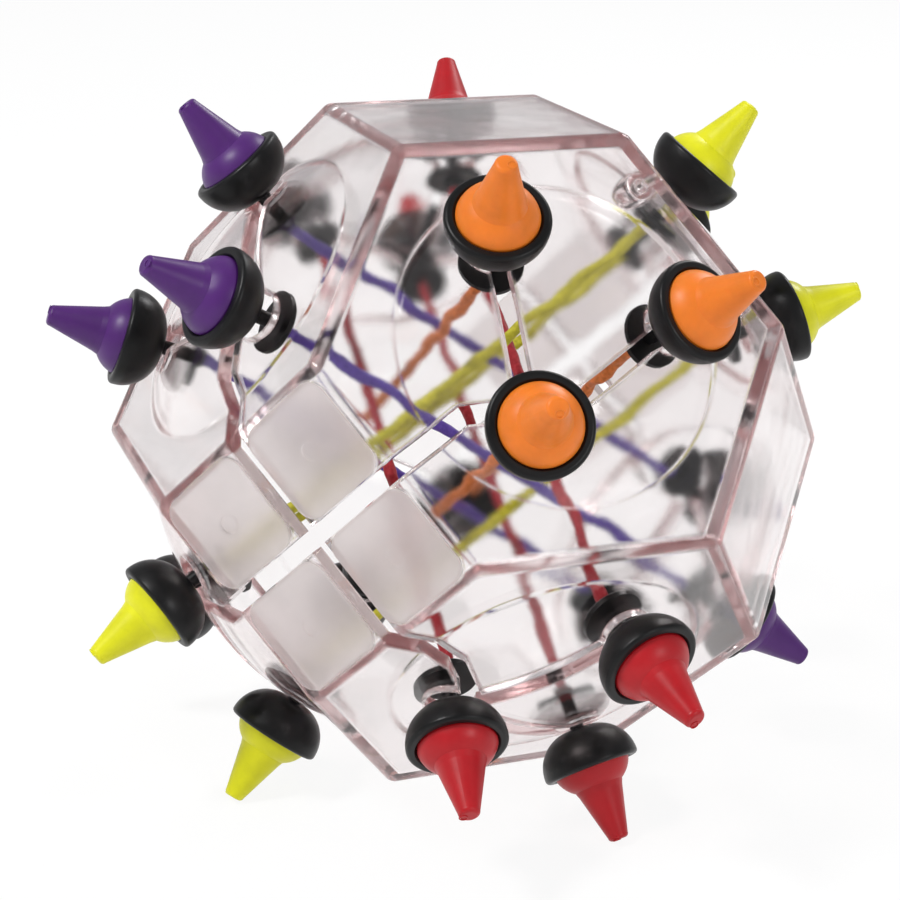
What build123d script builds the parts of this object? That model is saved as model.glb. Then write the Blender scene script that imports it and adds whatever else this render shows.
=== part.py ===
from build123d import *
from math import acos, cos, degrees, radians, sin, sqrt
import os

os.makedirs("parts", exist_ok=True)

# A string-untangling ball: two identical clear shells, joined along a zigzag seam, make a
# hollow truncated octahedron with a domed window in each hexagon. Twenty-four pins slide in
# slots cut through the wall and pull on twelve elastic strings that cross the inside.
# Millimetres. Origin at the centre of the body, +Z up, the slotted square faces look along
# -Y and +Y.

# Driving dimensions
BODY_ACROSS = 88.0          # between opposite square faces
DOME_R = 43.4               # the windows lie on one sphere about the body centre
WALL = 2.2
EDGE_ROUND = 1.8            # rounding along the outer edges
SLOT_W = 2.4
SEAT_OFFSET = 12.9          # each parking seat, from the middle of its hexagon
SEAT_HOLE_R = 3.2
ENTRY_DROP = 8.0            # the entry leg runs this far below the middle of the hexagon
CUP_R = 6.5                 # black cup of a pin, at its rim
LEAN = 11.5                 # lean of the corner pins along their slot, in degrees
LEAN_LIFT = 0.4             # and how far the lean lifts them off the wall
STRING_R = 0.85
STRING_END_GAP = 0.05       # between the end of a string and its pin
SEAM_GAP = 0.02             # each shell stops this far short of the seam surface

# Sizes that follow from them
U = BODY_ACROSS / 4         # the corners are the permutations of (0, 1, 2) times U
HEX_DIST = sqrt(3) * U      # from the centre to a hexagon
INNER_DOME_R = DOME_R - WALL

# Pin, measured outwards along its own axis from the body centre
BOSS_Z = 37.3               # inner end, where the string is tied
BOSS_R = 1.3
BOSS_CHAMFER = 0.3
FLANGE_Z = 38.3
FLANGE_T = 0.9
FLANGE_R = 4.0
FLANGE_CHAMFER = 0.3
NECK_R = 0.95
NUB_Z = DOME_R + 0.12       # underside of the cup, just clear of the wall
NUB_R = 1.5
CUP_BELLY = 1.5             # bulge of the cup's side below a straight line
RIM_Z = 49.2
RIM_ROUND = 0.55
SKIRT_R = 5.1               # foot of the grip, seated in the cup's pocket
POCKET_R = SKIRT_R + 0.05
POCKET_DEPTH = 1.2
POCKET_CHAMFER = 0.3
STEM_R = 1.4
STEM_Z = 45.4
STEM_CLEAR = 0.05
SHOULDER_IN = 0.55          # the skirt's shoulder: this far inside its foot
SHOULDER_RISE = 1.15        # and this far above the rim
FINGER_FOOT_RISE = 2.35     # where the tapering finger leaves the skirt, above the rim
FINGER_FOOT_R = 3.3
FINGER_BEND_RISE = 3.1      # where its taper becomes straight
FINGER_BEND_R = 3.02
GRIP_TIP_Z = 59.0
GRIP_TIP_R = 1.4
TIP_ROUND = 0.55

# Raised pads on the slotted square
PAD_HEIGHT = 0.35
PAD_FOOT = 0.2              # each pad starts this deep in the wall
PAD_MARGIN = 0.1            # between a pad and the slot
PAD_EDGE = 0.8              # between a pad and the edge of the square face
PAD_CORNER_R = 2.4
PAD_MARK_R = 1.2
PAD_MARK_DEPTH = 0.12

# Locating pegs on the seam
PEG_BOSS_R = 1.9
PEG_BOSS_LENGTH = 4.5
PEG_R = 0.9
PEG_LENGTH = 2.2
PEG_FOOT = 1.0              # each peg starts this deep in its boss
PEG_CLEAR = 0.1
PEG_HOLE_EXTRA = 0.4        # the hole is this much deeper than the peg is long
PEG_ALONG = 6.0             # from the corner, along the seam edge
PEG_INWARD = 4.2            # from the seam edge, towards the centre

SLOT_INNER = 30.0           # the slot cutters reach from here, inside the wall,
FAR = 70.0                  # to here, past the whole body
FACE_N = Vector(1, -1, 1).normalized()
FACE_X = Vector(1, 1, 0).normalized()
FACE_Y = FACE_N.cross(FACE_X)
CROSS_DIR = Vector(0, -1, 0)
QUARTER_TURNS = {"orange": 0, "red": 90, "yellow": 180, "purple": 270}
FLIP = Axis((0, 0, 0), (1, 0, 1))
UPRIGHT = (Align.CENTER, Align.CENTER, Align.MIN)


def on_face(x, y):
    """Direction from the centre through a point of the first hexagon."""
    return (FACE_N * HEX_DIST + FACE_X * x + FACE_Y * y).normalized()


def seat(angle):
    """Direction of the parking seat at this angle round the first hexagon."""
    return on_face(SEAT_OFFSET * cos(radians(angle)), SEAT_OFFSET * sin(radians(angle)))


SEATS = {"a": seat(120), "b": seat(0), "c": seat(240)}
ENTRY_BEND = on_face(-ENTRY_DROP * sqrt(3), -ENTRY_DROP)
ENTRY_JOIN = on_face(SEAT_OFFSET * cos(radians(120)), -ENTRY_DROP)
# A corner pin (seat c) leans towards seat a, turning about a point inside the wall.
LEAN_AXIS = Axis(SEATS["c"] * (DOME_R - WALL / 2), SEATS["c"].cross(SEATS["a"]))


def angle_between(a, b):
    """Angle between two unit vectors, in degrees."""
    return degrees(acos(max(-1.0, min(1.0, a.dot(b)))))


# ---- body -----------------------------------------------------------------------------

def faceted(square_dist, hex_dist):
    """Truncated octahedron given by the distances of its two kinds of face."""
    solid = Box(2 * square_dist, 2 * square_dist, 2 * square_dist)
    for sx in (-1, 1):
        for sy in (-1, 1):
            for sz in (-1, 1):
                n = Vector(sx, sy, sz).normalized()
                solid = split(solid, bisect_by=Plane(n * hex_dist, z_dir=n), keep=Keep.BOTTOM)
    return solid


def outer_body():
    core = faceted(BODY_ACROSS / 2, HEX_DIST)
    return fillet(core.edges(), EDGE_ROUND)


def hollow_body():
    cavity = faceted(BODY_ACROSS / 2 - WALL, HEX_DIST - WALL) + Sphere(INNER_DOME_R)
    return outer_body() + Sphere(DOME_R) - cavity


def radial_plane(start, end):
    """Plane through the centre holding two directions, its X along the first."""
    return Plane((0, 0, 0), x_dir=start, z_dir=start.cross(end))


def radial_hole(direction, radius):
    """Round cutter along a direction from the centre."""
    plane = Plane(direction * SLOT_INNER, z_dir=direction)
    return plane * Cylinder(radius, FAR - SLOT_INNER, align=UPRIGHT)


def slot_leg(start, end):
    """Radial slab between two directions, rounded at both ends."""
    turn = radians(angle_between(start, end))
    near = [(SLOT_INNER, 0), (FAR, 0)]
    distant = [(FAR * cos(turn), FAR * sin(turn)), (SLOT_INNER * cos(turn), SLOT_INNER * sin(turn))]
    with BuildPart() as leg:
        with BuildSketch(radial_plane(start, end)):
            Polygon(*near, *distant, align=None)
        extrude(amount=SLOT_W / 2, both=True)
    return leg.part + radial_hole(start, SLOT_W / 2) + radial_hole(end, SLOT_W / 2)


def slots_of_first_hexagon():
    """The hexagon's two legs, its entry from the cross slot and its three seats."""
    cut = slot_leg(SEATS["c"], SEATS["a"])
    cut += slot_leg(SEATS["c"], SEATS["b"])
    cut += slot_leg(ENTRY_JOIN, ENTRY_BEND)
    cut += slot_leg(ENTRY_BEND, CROSS_DIR)
    for direction in SEATS.values():
        cut += radial_hole(direction, SEAT_HOLE_R)
    return cut


def pads():
    """Four raised rounded pads between the arms of the cross slot, on the -Y square."""
    half_side = U / sqrt(2)
    low = SLOT_W / 2 + PAD_MARGIN
    size = half_side - PAD_EDGE - low
    middle = low + size / 2
    face = Plane((0, -BODY_ACROSS / 2, 0), x_dir=(1, 0, 1), z_dir=(0, -1, 0))
    spots = [(sx * middle, sy * middle) for sx in (-1, 1) for sy in (-1, 1)]
    with BuildPart() as raised:
        with BuildSketch(face.offset(-PAD_FOOT)):
            with Locations(*spots):
                RectangleRounded(size, size, PAD_CORNER_R)
        extrude(amount=PAD_HEIGHT + PAD_FOOT)
        with BuildSketch(face.offset(PAD_HEIGHT)):
            with Locations(*spots):
                Circle(PAD_MARK_R)
        extrude(amount=-PAD_MARK_DEPTH, mode=Mode.SUBTRACT)
    return raised.part


def pyramid(axis, apex_shift):
    """Solid cone over a square face, its point moved along the axis from the centre."""
    side = Vector(0, 1, 0)
    other = axis.cross(side)
    solid = Plane(axis * (FAR / 2), z_dir=axis) * Box(2 * FAR, 2 * FAR, FAR)
    for s in (-1, 1):
        for t in (-1, 1):
            outward = (side * (2 * s) + other * (2 * t) - axis).normalized()
            cutter = Plane(axis * apex_shift, z_dir=outward)
            solid = split(solid, bisect_by=cutter, keep=Keep.BOTTOM)
    return solid


def front_region():
    """Everything on the front shell's side of the seam. The seam follows four edges between
    hexagons and goes round the plain squares: the top and bottom ones belong to this shell."""
    region = Pos(0, -FAR / 2 - SEAM_GAP, 0) * Box(2 * FAR, FAR, 2 * FAR)
    for sign in (-1, 1):
        region += pyramid(Vector(0, 0, sign), 3 * SEAM_GAP)
        region -= pyramid(Vector(sign, 0, 0), -3 * SEAM_GAP)
    return region


def peg_spot(corner, towards):
    """Point on the seam plane beside a corner of the body."""
    along = (towards - corner).normalized()
    inward = (corner + towards).normalized() * -1
    return corner + along * PEG_ALONG + inward * PEG_INWARD


def bar(point, radius, y_from, y_to):
    """Round bar along Y."""
    plane = Plane((point.X, y_from, point.Z), z_dir=(0, 1, 0))
    return plane * Cylinder(radius, y_to - y_from, align=UPRIGHT)


def front_shell():
    shell = hollow_body() & front_region()
    slots = slots_of_first_hexagon()
    for turn in QUARTER_TURNS.values():
        shell -= slots.rotate(Axis.Y, turn)
    shell += pads()
    limit = outer_body()
    for sign in (-1, 1):
        by_square = Vector(sign * U, 0, sign * 2 * U)
        by_side = Vector(sign * 2 * U, 0, sign * U)
        with_peg = peg_spot(by_square, by_side)
        with_hole = peg_spot(by_side, by_square)
        for spot in (with_peg, with_hole):
            shell += bar(spot, PEG_BOSS_R, -PEG_BOSS_LENGTH, -SEAM_GAP) & limit
        shell += bar(with_peg, PEG_R, -PEG_FOOT, PEG_LENGTH)
        shell -= bar(with_hole, PEG_R + PEG_CLEAR, -PEG_LENGTH - PEG_HOLE_EXTRA, PEG_FOOT)
    return shell


# ---- pins -----------------------------------------------------------------------------

def pin_base():
    """Black moulding: string boss, inner flange, neck and cup, along +Z."""
    rim_side_z = RIM_Z - RIM_ROUND
    run, rise = CUP_R - NUB_R, rim_side_z - NUB_Z
    side = sqrt(run ** 2 + rise ** 2)
    belly = (NUB_R + run / 2 + CUP_BELLY * rise / side, NUB_Z + rise / 2 - CUP_BELLY * run / side)
    rim_inset = RIM_ROUND * (1 - sqrt(0.5))
    flange_top = FLANGE_Z + FLANGE_T
    pocket_z = RIM_Z - POCKET_DEPTH
    bore_r = STEM_R + STEM_CLEAR
    with BuildPart() as base:
        with BuildSketch(Plane.XZ):
            with BuildLine():
                Polyline((0, BOSS_Z), (BOSS_R - BOSS_CHAMFER, BOSS_Z), (BOSS_R, BOSS_Z + BOSS_CHAMFER),
                         (BOSS_R, FLANGE_Z), (FLANGE_R - FLANGE_CHAMFER, FLANGE_Z),
                         (FLANGE_R, FLANGE_Z + FLANGE_CHAMFER), (FLANGE_R, flange_top),
                         (NECK_R, flange_top), (NECK_R, NUB_Z), (NUB_R, NUB_Z))
                ThreePointArc((NUB_R, NUB_Z), belly, (CUP_R, rim_side_z))
                ThreePointArc((CUP_R, rim_side_z), (CUP_R - rim_inset, RIM_Z - rim_inset),
                              (CUP_R - RIM_ROUND, RIM_Z))
                Polyline((CUP_R - RIM_ROUND, RIM_Z), (POCKET_R + POCKET_CHAMFER, RIM_Z),
                         (POCKET_R, RIM_Z - POCKET_CHAMFER), (POCKET_R, pocket_z),
                         (bore_r, pocket_z), (bore_r, STEM_Z), (0, STEM_Z), (0, BOSS_Z))
            make_face()
        revolve(axis=Axis.Z)
    return base.part


def pin_grip():
    """Coloured grip: stem, domed skirt and tapering finger, along +Z."""
    seat_z = RIM_Z - POCKET_DEPTH
    shoulder = (SKIRT_R - SHOULDER_IN, RIM_Z + SHOULDER_RISE)
    foot = (FINGER_FOOT_R, RIM_Z + FINGER_FOOT_RISE)
    bend = (FINGER_BEND_R, RIM_Z + FINGER_BEND_RISE)
    tip_side = (GRIP_TIP_R, GRIP_TIP_Z - TIP_ROUND)
    tip_inset = TIP_ROUND * (1 - sqrt(0.5))
    with BuildPart() as grip:
        with BuildSketch(Plane.XZ):
            with BuildLine():
                Polyline((0, STEM_Z), (STEM_R, STEM_Z), (STEM_R, seat_z), (SKIRT_R, seat_z),
                         (SKIRT_R, RIM_Z))
                ThreePointArc((SKIRT_R, RIM_Z), shoulder, foot)
                Polyline(foot, bend, tip_side)
                ThreePointArc(tip_side, (GRIP_TIP_R - tip_inset, GRIP_TIP_Z - tip_inset),
                              (GRIP_TIP_R - TIP_ROUND, GRIP_TIP_Z))
                Polyline((GRIP_TIP_R - TIP_ROUND, GRIP_TIP_Z), (0, GRIP_TIP_Z), (0, STEM_Z))
            make_face()
        revolve(axis=Axis.Z)
    return grip.part


def aimed(direction):
    """Frame at the centre whose Z points this way."""
    return Plane((0, 0, 0), z_dir=direction).location


def leaned(shape):
    """Leans a corner pin, and lifts it so that its cup stays clear of the wall."""
    return shape.rotate(LEAN_AXIS, LEAN).moved(Location(SEATS["c"] * LEAN_LIFT))


def first_hexagon_pins(shape):
    """A copy of the shape at each seat of the first hexagon."""
    placed = {}
    for name, direction in SEATS.items():
        copy = aimed(direction) * shape
        placed[name] = leaned(copy) if name == "c" else copy
    return placed


def string_anchor(name):
    """Where a string of the first hexagon ends, just below its pin."""
    tip = SEATS[name] * (BOSS_Z - STRING_R - STRING_END_GAP)
    end = Vertex(tip.X, tip.Y, tip.Z)
    return leaned(end) if name == "c" else end


# ---- placing --------------------------------------------------------------------------

def to_front(shape, colour):
    """From the first hexagon to this colour's hexagon on the front shell."""
    return shape.rotate(Axis.Y, QUARTER_TURNS[colour])


def to_back(shape, colour):
    """From the first hexagon to this colour's hexagon on the back shell."""
    flipped = shape.rotate(FLIP, 180)
    return flipped.rotate(Axis.Y, 180 + QUARTER_TURNS[colour])


def string_between(a, b):
    """Round elastic string with rounded ends."""
    start, end = a.center(), b.center()
    along = end - start
    body = Plane(start, z_dir=along) * Cylinder(STRING_R, along.length, align=UPRIGHT)
    return body + Pos(*start) * Sphere(STRING_R) + Pos(*end) * Sphere(STRING_R)


def strings_of(colour):
    """Three strings between this colour's two hexagons: a to a, and b and c swapped."""
    group = []
    for near, distant in (("a", "a"), ("b", "c"), ("c", "b")):
        start = to_front(string_anchor(near), colour)
        end = to_back(string_anchor(distant), colour)
        group.append(string_between(start, end))
    return Compound(children=[s.solid() for s in group])


def save(shape, name):
    export_step(shape, "parts/" + name + ".step")


shell = front_shell()
save(shell, "shell_front")
save(shell.rotate(FLIP, 180), "shell_back")

bases = first_hexagon_pins(pin_base())
grips = first_hexagon_pins(pin_grip())
for colour in QUARTER_TURNS:
    save(strings_of(colour), "strings_" + colour)
    for name in SEATS:
        save(to_front(bases[name], colour), "pin_base_" + colour + "_front_" + name)
        save(to_front(grips[name], colour), "pin_grip_" + colour + "_front_" + name)
        save(to_back(bases[name], colour), "pin_base_" + colour + "_back_" + name)
        save(to_back(grips[name], colour), "pin_grip_" + colour + "_back_" + name)
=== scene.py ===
import itertools
import math
import random

import bmesh
import bpy
from mathutils import Matrix, Vector


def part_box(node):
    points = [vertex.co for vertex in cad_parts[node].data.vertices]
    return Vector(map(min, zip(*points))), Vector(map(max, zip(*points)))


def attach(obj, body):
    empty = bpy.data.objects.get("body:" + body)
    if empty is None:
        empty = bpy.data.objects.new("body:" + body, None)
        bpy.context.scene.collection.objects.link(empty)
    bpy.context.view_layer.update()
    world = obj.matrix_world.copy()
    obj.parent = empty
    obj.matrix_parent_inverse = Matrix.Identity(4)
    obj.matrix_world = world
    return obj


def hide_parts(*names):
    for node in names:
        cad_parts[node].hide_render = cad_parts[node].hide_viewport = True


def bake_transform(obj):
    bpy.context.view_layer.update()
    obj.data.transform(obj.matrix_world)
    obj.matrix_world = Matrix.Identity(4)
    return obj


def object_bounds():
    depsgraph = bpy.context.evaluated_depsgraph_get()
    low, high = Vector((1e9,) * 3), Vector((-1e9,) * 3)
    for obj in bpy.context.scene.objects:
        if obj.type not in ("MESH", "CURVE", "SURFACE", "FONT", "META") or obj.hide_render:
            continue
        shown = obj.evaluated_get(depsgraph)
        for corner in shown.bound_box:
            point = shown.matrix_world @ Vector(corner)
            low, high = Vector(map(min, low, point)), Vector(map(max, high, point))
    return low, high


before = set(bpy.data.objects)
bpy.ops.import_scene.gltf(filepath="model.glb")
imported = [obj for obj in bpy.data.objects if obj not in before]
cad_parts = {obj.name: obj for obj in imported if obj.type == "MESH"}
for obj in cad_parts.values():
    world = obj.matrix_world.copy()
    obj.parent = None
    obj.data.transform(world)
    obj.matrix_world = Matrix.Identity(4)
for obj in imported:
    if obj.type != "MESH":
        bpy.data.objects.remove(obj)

# Looks of the string-untangling puzzle ball. Metres, in the CAD frame: origin at the centre
# of the body, +Z up, the slotted squares look along -Y and +Y. Colours are linear.

MM = 0.001
CAD_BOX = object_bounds()
COLOURS = ("orange", "purple", "yellow", "red")
SIDES = ("front", "back")
SEATS = ("a", "b", "c")
STRUNG_SEATS = (("a", "a"), ("b", "c"), ("c", "b"))  # front seat, back seat of one string
SHELLS = ("shell_front", "shell_back")
SQUARE_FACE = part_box("shell_front")[1].z            # how far out the plain square faces lie
PAD_STARTS = SQUARE_FACE + 0.18 * MM                # further out along Y is a frosted pad
PAD_BLEND = 0.05 * MM
FLOOR_Z = CAD_BOX[0].z

# Materials
GRIP_TINTS = {
    "orange": (0.86, 0.215, 0.018),
    "purple": (0.082, 0.014, 0.165),
    "yellow": (0.780, 0.770, 0.008),
    "red": (0.470, 0.006, 0.012),
}
STRING_TINTS = {
    "orange": (0.660, 0.170, 0.020),
    "purple": (0.100, 0.050, 0.360),
    "yellow": (0.580, 0.550, 0.030),
    "red": (0.350, 0.007, 0.017),
}
SHELL_TINT = (0.52, 0.02, 0.02)                     # what the wall lets through over depth
SHELL_DENSITY = 18.0                                # per metre
SHELL_IOR = 1.50
STRAIGHT_THROUGH = (0.93, 0.918, 0.912)             # shadow light that passes one wall surface
SHELL_SMUDGE = 0.018                                # roughness of the worst finger marks
PAD_VEIL = (0.87, 0.79, 0.775)
PAD_VEIL_SHARE = 0.52
PAD_THROUGH_SHARE = 0.45                            # part of the veil lit from behind
PAD_CLOUD = 0.86                                    # darkest part of the veil's clouding
PAD_ROUGHNESS = 0.34
EDGE_SOFTNESS = 0.65 * MM                           # moulded edges are never quite sharp
BLACK_TINT = (0.0050, 0.0050, 0.0054)
BLACK_DUSTY = 4.0                                   # times as bright as the clean black
BLACK_RUBBED = 3.0
GRIP_SCATTER = 0.6 * MM                             # depth that light sinks into a grip
FINE_BUMP = 0.05 * MM                               # height of the moulded surface texture

# Pins
FOOT_DEPTH = 0.12 * MM                              # mesh points this close to an end belong to it
TIP_DEPTH = 0.02 * MM
TIP_PASSES = 3
GATE_R = 0.50 * MM
GATE_WIRE = 0.09 * MM
GATE_STEPS = 24
GATE_SIDES = 8

# Strings
STRING_R = 0.78 * MM
STRING_SIDES = 20
STRING_STEP = 0.5 * MM
STRING_FLATNESS = 0.12
STRING_TURN = 26 * MM                               # length over which the flat thread turns once
BRAID_PITCH = 3.6 * MM
BRAID_STRANDS = 4
BRAID_DEPTH = 0.05
WAVE_SIZE = 0.28 * MM
WAVE_LENGTHS = (7.5 * MM, 13 * MM)


# ---- small node helpers ---------------------------------------------------------------

MIX_SOCKETS = {"FLOAT": (2, 3, 0), "RGBA": (6, 7, 2)}   # a mix node's two inputs and its output


class Shader:
    """A node material, built by short calls."""

    def __init__(self, name):
        self.material = bpy.data.materials.new(name)
        self.material.use_nodes = True
        self.tree = self.material.node_tree
        self.tree.nodes.clear()
        self.output = self.tree.nodes.new("ShaderNodeOutputMaterial")
        self.coord = self.tree.nodes.new("ShaderNodeTexCoord").outputs["Object"]

    def node(self, kind, **values):
        made = self.tree.nodes.new(kind)
        for key, value in values.items():
            made.inputs[key.replace("_", " ")].default_value = value
        return made

    def link(self, source, target):
        self.tree.links.new(source, target)

    def noise(self, scale, detail=3.0, rough=0.5):
        """Noise from 0 to 1; scale is in blobs per metre."""
        made = self.node("ShaderNodeTexNoise", Scale=scale, Detail=detail, Roughness=rough)
        self.link(self.coord, made.inputs["Vector"])
        return made.outputs["Fac"]

    def ramp(self, source, low, high, start=0.0, end=1.0):
        """Turns a source running from start to end into one from low to high."""
        made = self.node("ShaderNodeMapRange", From_Min=start, From_Max=end, To_Min=low, To_Max=high)
        self.link(source, made.inputs["Value"])
        return made.outputs["Result"]

    def mix(self, kind, factor, first, second):
        """Blends two colours or two numbers; each can be a value or a socket."""
        made = self.tree.nodes.new("ShaderNodeMix")
        made.data_type = kind
        first_in, second_in, result = MIX_SOCKETS[kind]
        for value, slot in ((factor, 0), (first, first_in), (second, second_in)):
            if isinstance(value, bpy.types.NodeSocket):
                self.link(value, made.inputs[slot])
            elif isinstance(value, tuple):
                made.inputs[slot].default_value = (*value, 1.0)
            else:
                made.inputs[slot].default_value = value
        return made.outputs[result]

    def mix_colour(self, factor, first, second):
        return self.mix("RGBA", factor, first, second)

    def mix_number(self, factor, first, second):
        return self.mix("FLOAT", factor, first, second)

    def maths(self, operation, a, b=0.0):
        made = self.tree.nodes.new("ShaderNodeMath")
        made.operation = operation
        for value, index in ((a, 0), (b, 1)):
            if isinstance(value, bpy.types.NodeSocket):
                self.link(value, made.inputs[index])
            else:
                made.inputs[index].default_value = value
        return made.outputs[0]

    def bump(self, height, strength, distance, normal=None):
        made = self.node("ShaderNodeBump", Strength=strength, Distance=distance)
        self.link(height, made.inputs["Height"])
        if normal is not None:
            self.link(normal, made.inputs["Normal"])
        return made.outputs["Normal"]

    def mix_shader(self, factor, first, second):
        made = self.tree.nodes.new("ShaderNodeMixShader")
        for value, index in ((factor, 0), (first, 1), (second, 2)):
            if isinstance(value, float):
                made.inputs[index].default_value = value
            else:
                self.link(value, made.inputs[index])
        return made.outputs[0]

    def light_path(self, kind):
        return self.tree.nodes.new("ShaderNodeLightPath").outputs[kind]

    def finish(self, surface):
        self.link(surface, self.output.inputs["Surface"])
        return self.material


def scaled(colour, factor):
    """A colour made darker or brighter."""
    return tuple(min(1.0, c * factor) for c in colour)


# ---- materials ------------------------------------------------------------------------

def clear_shell_material():
    """Clear moulded plastic with a rosy body tint; the raised pads are frosted."""
    s = Shader("clear_shell")
    split = s.node("ShaderNodeSeparateXYZ")
    s.link(s.coord, split.inputs[0])
    reach = s.maths("ABSOLUTE", split.outputs["Y"])
    frosted = s.ramp(reach, low=0.0, high=1.0, start=PAD_STARTS, end=PAD_STARTS + PAD_BLEND)

    smudge = s.ramp(s.noise(60.0, detail=2.0), low=0.0, high=SHELL_SMUDGE, start=0.45, end=0.7)
    soft = s.node("ShaderNodeBevel", Radius=EDGE_SOFTNESS).outputs[0]
    wavy = s.bump(s.noise(110.0, detail=1.0), strength=0.25, distance=0.35 * MM, normal=soft)
    grainy = s.bump(s.noise(9000.0, detail=2.0), strength=0.10, distance=0.03 * MM, normal=wavy)
    glass = s.node("ShaderNodeBsdfPrincipled", IOR=SHELL_IOR, Transmission_Weight=1.0)
    glass.inputs["Base Color"].default_value = (1.0, 1.0, 1.0, 1.0)
    s.link(s.mix_number(frosted, smudge, PAD_ROUGHNESS), glass.inputs["Roughness"])
    s.link(grainy, glass.inputs["Normal"])

    cloud = s.ramp(s.noise(170.0), low=0.0, high=1.0, start=0.3, end=0.7)
    milky = s.mix_colour(cloud, scaled(PAD_VEIL, PAD_CLOUD), PAD_VEIL)
    front = s.node("ShaderNodeBsdfDiffuse")
    through = s.node("ShaderNodeBsdfTranslucent")
    s.link(milky, front.inputs["Color"])
    s.link(milky, through.inputs["Color"])
    veil = s.mix_shader(PAD_THROUGH_SHARE, front.outputs[0], through.outputs[0])
    body = s.mix_shader(s.maths("MULTIPLY", frosted, PAD_VEIL_SHARE), glass.outputs[0], veil)

    # Shadow and soft light pass straight through, so that the inside stays lit.
    straight = s.node("ShaderNodeBsdfTransparent", Color=(*STRAIGHT_THROUGH, 1.0)).outputs[0]
    passing = s.maths("MAXIMUM", s.light_path("Is Shadow Ray"), s.light_path("Is Diffuse Ray"))
    tint = s.node("ShaderNodeVolumeAbsorption", Color=(*SHELL_TINT, 1.0), Density=SHELL_DENSITY)
    s.link(tint.outputs[0], s.output.inputs["Volume"])
    return s.finish(s.mix_shader(passing, body, straight))


def black_material():
    """Satin black moulding with a fine texture, dust and rubbed rims."""
    s = Shader("pin_black")
    dust = s.ramp(s.noise(1400.0, detail=4.0, rough=0.7), low=0.0, high=0.35, start=0.62, end=0.78)
    edges = s.node("ShaderNodeNewGeometry").outputs["Pointiness"]
    rubbed = s.ramp(edges, low=0.0, high=0.5, start=0.53, end=0.62)
    colour = s.mix_colour(dust, BLACK_TINT, scaled(BLACK_TINT, BLACK_DUSTY))
    colour = s.mix_colour(rubbed, colour, scaled(BLACK_TINT, BLACK_RUBBED))
    shader = s.node("ShaderNodeBsdfPrincipled", Specular_IOR_Level=0.24)
    s.link(colour, shader.inputs["Base Color"])
    rough = s.ramp(s.noise(300.0), low=0.30, high=0.44, start=0.3, end=0.7)
    s.link(rough, shader.inputs["Roughness"])
    s.link(s.bump(s.noise(2600.0), strength=0.22, distance=FINE_BUMP), shader.inputs["Normal"])
    return s.finish(shader.outputs[0])


def grip_material(colour):
    """Coloured satin plastic, a little translucent, with faint mottling and scuffs."""
    tint = GRIP_TINTS[colour]
    s = Shader("grip_" + colour)
    mottle = s.ramp(s.noise(240.0, detail=4.0, rough=0.6), low=0.0, high=1.0, start=0.3, end=0.7)
    base = s.mix_colour(mottle, scaled(tint, 0.90), scaled(tint, 1.06))
    scuffs = s.ramp(s.noise(1700.0, detail=5.0, rough=0.75), low=0.0, high=0.35, start=0.6, end=0.8)
    base = s.mix_colour(scuffs, base, scaled(tint, 0.72))
    shader = s.node("ShaderNodeBsdfPrincipled", Specular_IOR_Level=0.36, Subsurface_Weight=0.25)
    s.link(base, shader.inputs["Base Color"])
    shader.inputs["Subsurface Radius"].default_value = tuple(0.3 + c for c in tint)
    shader.inputs["Subsurface Scale"].default_value = GRIP_SCATTER
    rough = s.ramp(s.noise(420.0), low=0.34, high=0.48, start=0.3, end=0.7)
    s.link(rough, shader.inputs["Roughness"])
    s.link(s.bump(s.noise(1900.0), strength=0.14, distance=FINE_BUMP), shader.inputs["Normal"])
    return s.finish(shader.outputs[0])


def string_material(colour):
    """Braided elastic thread: matte, with light and dark strands and a soft fuzz."""
    tint = STRING_TINTS[colour]
    s = Shader("string_" + colour)
    strands = s.ramp(s.noise(1500.0, rough=0.6), low=0.0, high=1.0, start=0.35, end=0.65)
    base = s.mix_colour(strands, scaled(tint, 0.74), scaled(tint, 1.15))
    patches = s.ramp(s.noise(160.0, detail=2.0), low=0.0, high=0.35, start=0.4, end=0.7)
    base = s.mix_colour(patches, base, scaled(tint, 0.85))
    shader = s.node("ShaderNodeBsdfPrincipled", Sheen_Weight=0.2, Sheen_Roughness=0.4)
    s.link(base, shader.inputs["Base Color"])
    s.link(s.ramp(strands, low=0.85, high=0.65), shader.inputs["Roughness"])
    s.link(s.bump(s.noise(3200.0), strength=0.4, distance=0.06 * MM), shader.inputs["Normal"])
    return s.finish(shader.outputs[0])


def floor_material():
    """A pale light table: it glows to the eye, so the shadows on it stay weak."""
    s = Shader("studio_floor")
    shade = s.ramp(s.noise(2.5, detail=2.0), low=0.80, high=0.82)
    grey = s.node("ShaderNodeCombineColor")
    for channel in grey.inputs:
        s.link(shade, channel)
    matte = s.node("ShaderNodeBsdfDiffuse")
    s.link(grey.outputs[0], matte.inputs["Color"])
    grain = s.bump(s.noise(900.0, detail=2.0), strength=0.05, distance=0.2 * MM)
    s.link(grain, matte.inputs["Normal"])
    glow = s.node("ShaderNodeEmission", Strength=FLOOR_GLOW)
    lit = s.mix_shader(FLOOR_GLOW_SHARE, matte.outputs[0], glow.outputs[0])
    return s.finish(s.mix_shader(s.light_path("Is Diffuse Ray"), lit, matte.outputs[0]))


# ---- meshes ---------------------------------------------------------------------------

def wear(obj, material):
    """Puts one material on every slot of an object."""
    if not obj.material_slots:
        obj.data.materials.append(material)
    for spot in obj.material_slots:
        spot.material = material


def mesh_object(name, mesh, material):
    """Turns a finished bmesh into a smooth-shaded object."""
    data = bpy.data.meshes.new(name)
    mesh.to_mesh(data)
    mesh.free()
    for face in data.polygons:
        face.use_smooth = True
    obj = bpy.data.objects.new(name, data)
    bpy.context.scene.collection.objects.link(obj)
    wear(obj, material)
    return obj


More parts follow.
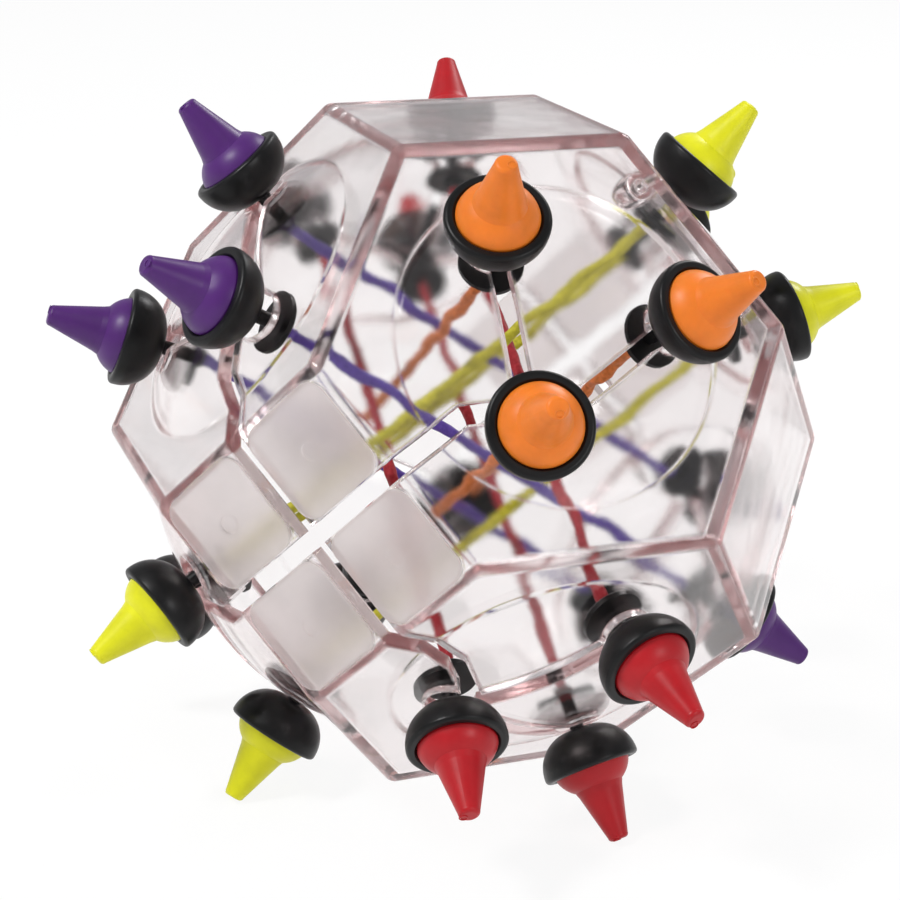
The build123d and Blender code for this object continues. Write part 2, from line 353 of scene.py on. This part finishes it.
def tube(rows, closed=False):
    """A mesh skinned over rings of points, capped at both ends or joined up."""
    mesh = bmesh.new()
    rings = [[mesh.verts.new(point) for point in row] for row in rows]
    following = rings[1:] + rings[:1] if closed else rings[1:]
    for a, b in zip(rings, following):
        for k in range(len(a)):
            n = (k + 1) % len(a)
            mesh.faces.new((a[k], a[n], b[n], b[k]))
    if not closed:
        mesh.faces.new(list(reversed(rings[0])))
        mesh.faces.new(rings[-1])
    bmesh.ops.recalc_face_normals(mesh, faces=mesh.faces)
    return mesh


# ---- pins -----------------------------------------------------------------------------

def middle_of(points):
    points = list(points)
    return sum(points, Vector()) / len(points)


def pin_foot(colour, side, seat):
    """Middle of the inner end of a pin, where its string is tied."""
    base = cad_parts[f"pin_base_{colour}_{side}_{seat}"]
    points = [v.co for v in base.data.vertices]
    nearest = min(p.length for p in points)
    return middle_of(p for p in points if p.length < nearest + FOOT_DEPTH)


def pin_tip(colour, side, seat):
    """Middle of the flat end of a grip, and the direction the pin points in."""
    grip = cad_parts[f"pin_grip_{colour}_{side}_{seat}"]
    points = [v.co for v in grip.data.vertices]
    foot = pin_foot(colour, side, seat)
    tip = max(points, key=lambda p: p.length)
    for repeat in range(TIP_PASSES):
        out = (tip - foot).normalized()
        furthest = max(p.dot(out) for p in points)
        tip = middle_of(p for p in points if p.dot(out) > furthest - TIP_DEPTH)
    return tip, out


def gate_mark(name, centre, out, material):
    """The small raised ring that moulding leaves on the end of a grip."""
    side = out.orthogonal().normalized()
    other = out.cross(side)
    rows = []
    for i in range(GATE_STEPS):
        t = 2 * math.pi * i / GATE_STEPS
        spoke = side * math.cos(t) + other * math.sin(t)
        turns = [2 * math.pi * k / GATE_SIDES for k in range(GATE_SIDES)]
        rows.append([centre + spoke * (GATE_R + GATE_WIRE * math.cos(u)) + out * GATE_WIRE * math.sin(u)
                     for u in turns])
    return mesh_object(name, tube(rows, closed=True), material)


def dress_pins(black, grips):
    """Colours every pin and puts the moulding mark on its grip."""
    for colour, side, seat in itertools.product(COLOURS, SIDES, SEATS):
        pin = f"{colour}_{side}_{seat}"
        wear(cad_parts["pin_base_" + pin], black)
        wear(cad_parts["pin_grip_" + pin], grips[colour])
        mark = gate_mark("gate_mark_" + pin, *pin_tip(colour, side, seat), grips[colour])
        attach(mark, "pin_" + pin)


# ---- strings --------------------------------------------------------------------------

def string_half(name, start, middle, material):
    """One half of a string, from its pin to the middle of the ball: a slightly flat braid."""
    rng = random.Random(name)
    along = middle - start
    length = along.length
    along.normalize()
    side = along.orthogonal().normalized()
    other = along.cross(side)
    first_turn = rng.uniform(0, 2 * math.pi)
    waves = [(rng.uniform(*WAVE_LENGTHS), rng.uniform(0, 2 * math.pi)) for axis in (side, other)]
    rings = int(length / STRING_STEP)
    rows = []
    for i in range(rings + 1):
        s = i / rings * length
        turn = first_turn + 2 * math.pi * s / STRING_TURN
        slack = WAVE_SIZE * math.sin(math.pi * i / rings) ** 2
        centre = start + along * s
        for axis, (wave, phase) in zip((side, other), waves):
            centre += axis * slack * math.sin(2 * math.pi * s / wave + phase)
        row = []
        for k in range(STRING_SIDES):
            t = 2 * math.pi * k / STRING_SIDES
            braid = math.cos(BRAID_STRANDS * t + 2 * math.pi * s / BRAID_PITCH)
            braid += math.cos(BRAID_STRANDS * t - 2 * math.pi * s / BRAID_PITCH)
            flat = 1 - STRING_FLATNESS * math.cos(2 * (t - turn))
            r = STRING_R * flat * (1 - BRAID_DEPTH + BRAID_DEPTH * braid)
            row.append(centre + (side * math.cos(t) + other * math.sin(t)) * r)
        rows.append(row)
    return mesh_object(name, tube(rows), material)


def strings(materials):
    """Each string in two halves, each running from one pin's foot to the middle of the ball."""
    for colour in COLOURS:
        for seats in STRUNG_SEATS:
            feet = [pin_foot(colour, side, seat) for side, seat in zip(SIDES, seats)]
            middle = (feet[0] + feet[1]) / 2
            for side, seat, foot in zip(SIDES, seats, feet):
                pin = f"{colour}_{side}_{seat}"
                half = string_half("string_" + pin, foot, middle, materials[colour])
                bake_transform(half)
                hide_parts("strings_" + colour)


# ---- studio ---------------------------------------------------------------------------

AZIMUTH, ELEVATION, ROLL = 24.56, 19.63, 1.21       # degrees
DISTANCE = 279.2 * MM
LENS = 80.45                                        # for a SENSOR this wide, both in mm
SENSOR = 36
NEAR, FAR = 0.01, 10                                # what the camera sees lies between these
AIM_RIGHT, AIM_UP = -2.02 * MM, -2.29 * MM          # aim point, from the centre of the ball

FLOOR_SIZE = 3.0                                    # from the middle to an edge
FLOOR_SQUARES = 8
FLOOR_GLOW = 1.04
FLOOR_GLOW_SHARE = 0.87
SKY_LOW = (0.52, 0.52, 0.53)
SKY_HIGH = (0.38, 0.38, 0.39)
SKY_HIGH_FROM = 0.9                                 # height where the darker sky is reached
LIGHTS = {                                          # place, size, watts
    "key": ((-0.35, -0.45, 0.75), 0.18, 5.0),
    "fill": ((0.70, -0.30, 0.35), 0.20, 1.2),
    "rim": ((0.10, 0.70, 0.60), 0.30, 2.5),
}
BOUNCES = 64                                        # light runs far inside the clear walls


def camera():
    """Looks at the ball from the front right and a little above, so that it fills the frame."""
    a = math.radians(AZIMUTH)
    e = math.radians(ELEVATION)
    back = Vector((math.sin(a) * math.cos(e), -math.cos(a) * math.cos(e), math.sin(e)))
    right = Vector((math.cos(a), math.sin(a), 0))
    up = back.cross(right)
    turn = Matrix.Rotation(math.radians(ROLL), 3, back)
    right = turn @ right
    up = turn @ up
    data = bpy.data.cameras.new("camera")
    data.lens = LENS
    data.sensor_width = SENSOR
    data.clip_start = NEAR
    data.clip_end = FAR
    obj = bpy.data.objects.new("camera", data)
    place = right * AIM_RIGHT + up * AIM_UP + back * DISTANCE
    pose = Matrix((right, up, back)).transposed().to_4x4()
    obj.matrix_world = Matrix.Translation(place) @ pose
    bpy.context.scene.collection.objects.link(obj)
    bpy.context.scene.camera = obj


def area_light(name, place, size, power):
    """A round soft light that faces the ball."""
    data = bpy.data.lights.new(name, "AREA")
    data.shape = "DISK"
    data.size = size
    data.energy = power
    obj = bpy.data.objects.new(name, data)
    obj.location = place
    obj.rotation_euler = (Vector(place) * -1).to_track_quat("-Z", "Y").to_euler()
    bpy.context.scene.collection.objects.link(obj)


def floor():
    """A wide table top under the lowest pins, part of the studio and not of the object."""
    mesh = bmesh.new()
    bmesh.ops.create_grid(mesh, x_segments=FLOOR_SQUARES, y_segments=FLOOR_SQUARES, size=FLOOR_SIZE)
    table = mesh_object("studio_floor", mesh, floor_material())
    table.location.z = FLOOR_Z


def sky():
    """Soft grey all round, a little darker overhead."""
    world = bpy.data.worlds.new("studio_sky")
    bpy.context.scene.world = world
    world.use_nodes = True
    tree = world.node_tree
    tree.nodes.clear()
    split = tree.nodes.new("ShaderNodeSeparateXYZ")
    ramp = tree.nodes.new("ShaderNodeValToRGB")
    back = tree.nodes.new("ShaderNodeBackground")
    out = tree.nodes.new("ShaderNodeOutputWorld")
    low, high = ramp.color_ramp.elements
    low.color = (*SKY_LOW, 1)
    high.color = (*SKY_HIGH, 1)
    high.position = SKY_HIGH_FROM
    tree.links.new(tree.nodes.new("ShaderNodeTexCoord").outputs["Generated"], split.inputs[0])
    tree.links.new(split.outputs["Z"], ramp.inputs[0])
    tree.links.new(ramp.outputs[0], back.inputs[0])
    tree.links.new(back.outputs[0], out.inputs[0])


def studio():
    floor()
    sky()
    for name, (place, size, power) in LIGHTS.items():
        area_light(name, place, size, power)
    scene = bpy.context.scene
    scene.cycles.max_bounces = BOUNCES
    scene.cycles.transmission_bounces = BOUNCES
    scene.cycles.glossy_bounces = BOUNCES
    scene.view_settings.view_transform = "Standard"


# ---- build ----------------------------------------------------------------------------

shell_look = clear_shell_material()
for name in SHELLS:
    wear(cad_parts[name], shell_look)
dress_pins(black_material(), {c: grip_material(c) for c in COLOURS})
strings({c: string_material(c) for c in COLOURS})
studio()
camera()
